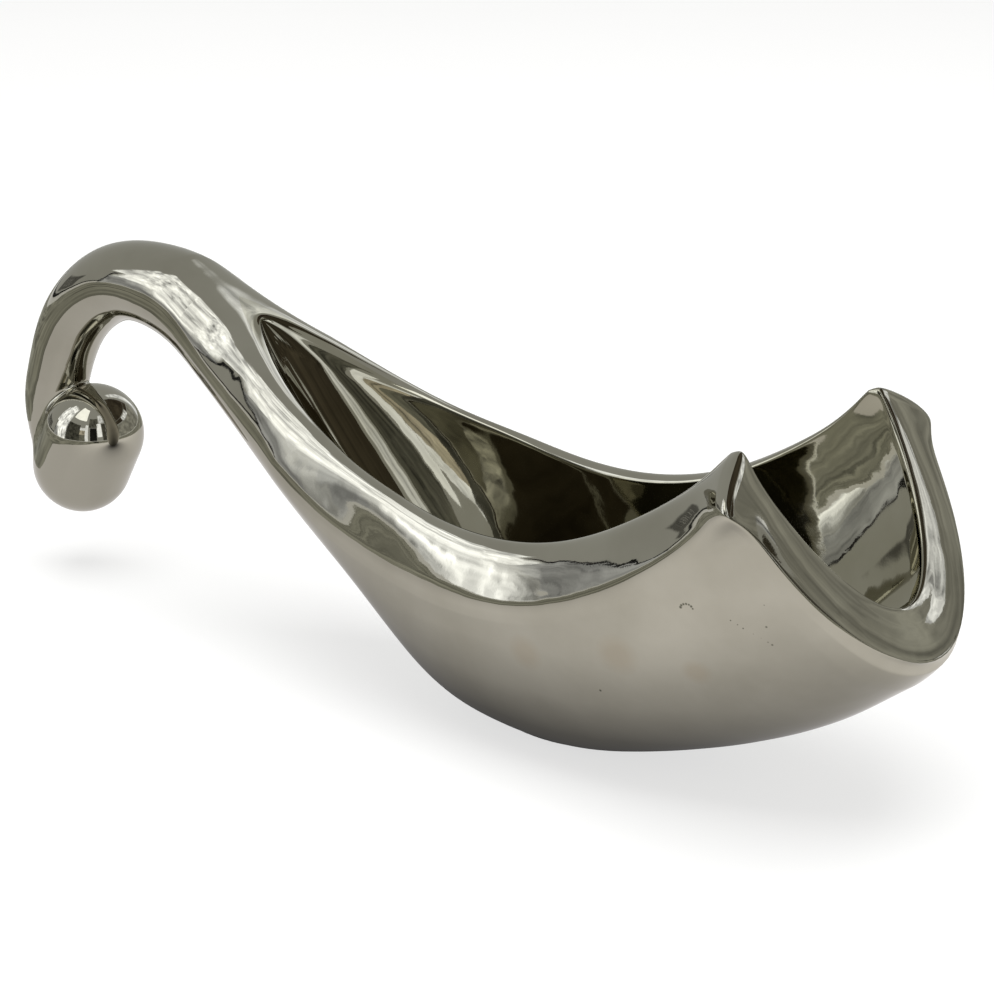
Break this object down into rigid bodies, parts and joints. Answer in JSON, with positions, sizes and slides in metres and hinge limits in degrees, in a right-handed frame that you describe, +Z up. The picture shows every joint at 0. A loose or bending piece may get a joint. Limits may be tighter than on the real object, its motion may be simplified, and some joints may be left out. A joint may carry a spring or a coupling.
{
  "type": "centerpiece bowl",
  "caption": "Horn-shaped mirror-bright metal centerpiece bowl with a deep U pour notch and a curled handle that ends in a ball.",
  "frame": {"origin": "on the table surface, under the middle of the foot", "axes": "+Z up, +X towards the pour notch, +Y to the left of someone looking from the handle to the notch"},
  "size_m": [0.446, 0.1324, 0.1542],
  "materials": {
    "bright_metal": "warm grey mirror polish",
    "liner_metal": "warm grey mirror polish, a little darker",
    "soldered_metal": "unpolished sheet",
    "felt": "dark felt"
  },
  "bodies": {
    "root": {"outer_shell_left": "bright_metal", "outer_shell_right": "bright_metal", "rim_left": "bright_metal", "rim_right": "bright_metal", "spout_lip": "bright_metal", "inner_bowl": "liner_metal", "handle_left_half": "bright_metal", "handle_right_half": "bright_metal", "ball_left_half": "bright_metal", "ball_right_half": "bright_metal", "handle_sleeve": "soldered_metal", "ball_sleeve": "soldered_metal", "seam_strip_back": "soldered_metal", "seam_strip_front": "soldered_metal", "foot_plate": "soldered_metal", "felt_pad": "felt"}
  },
  "joints": []
}
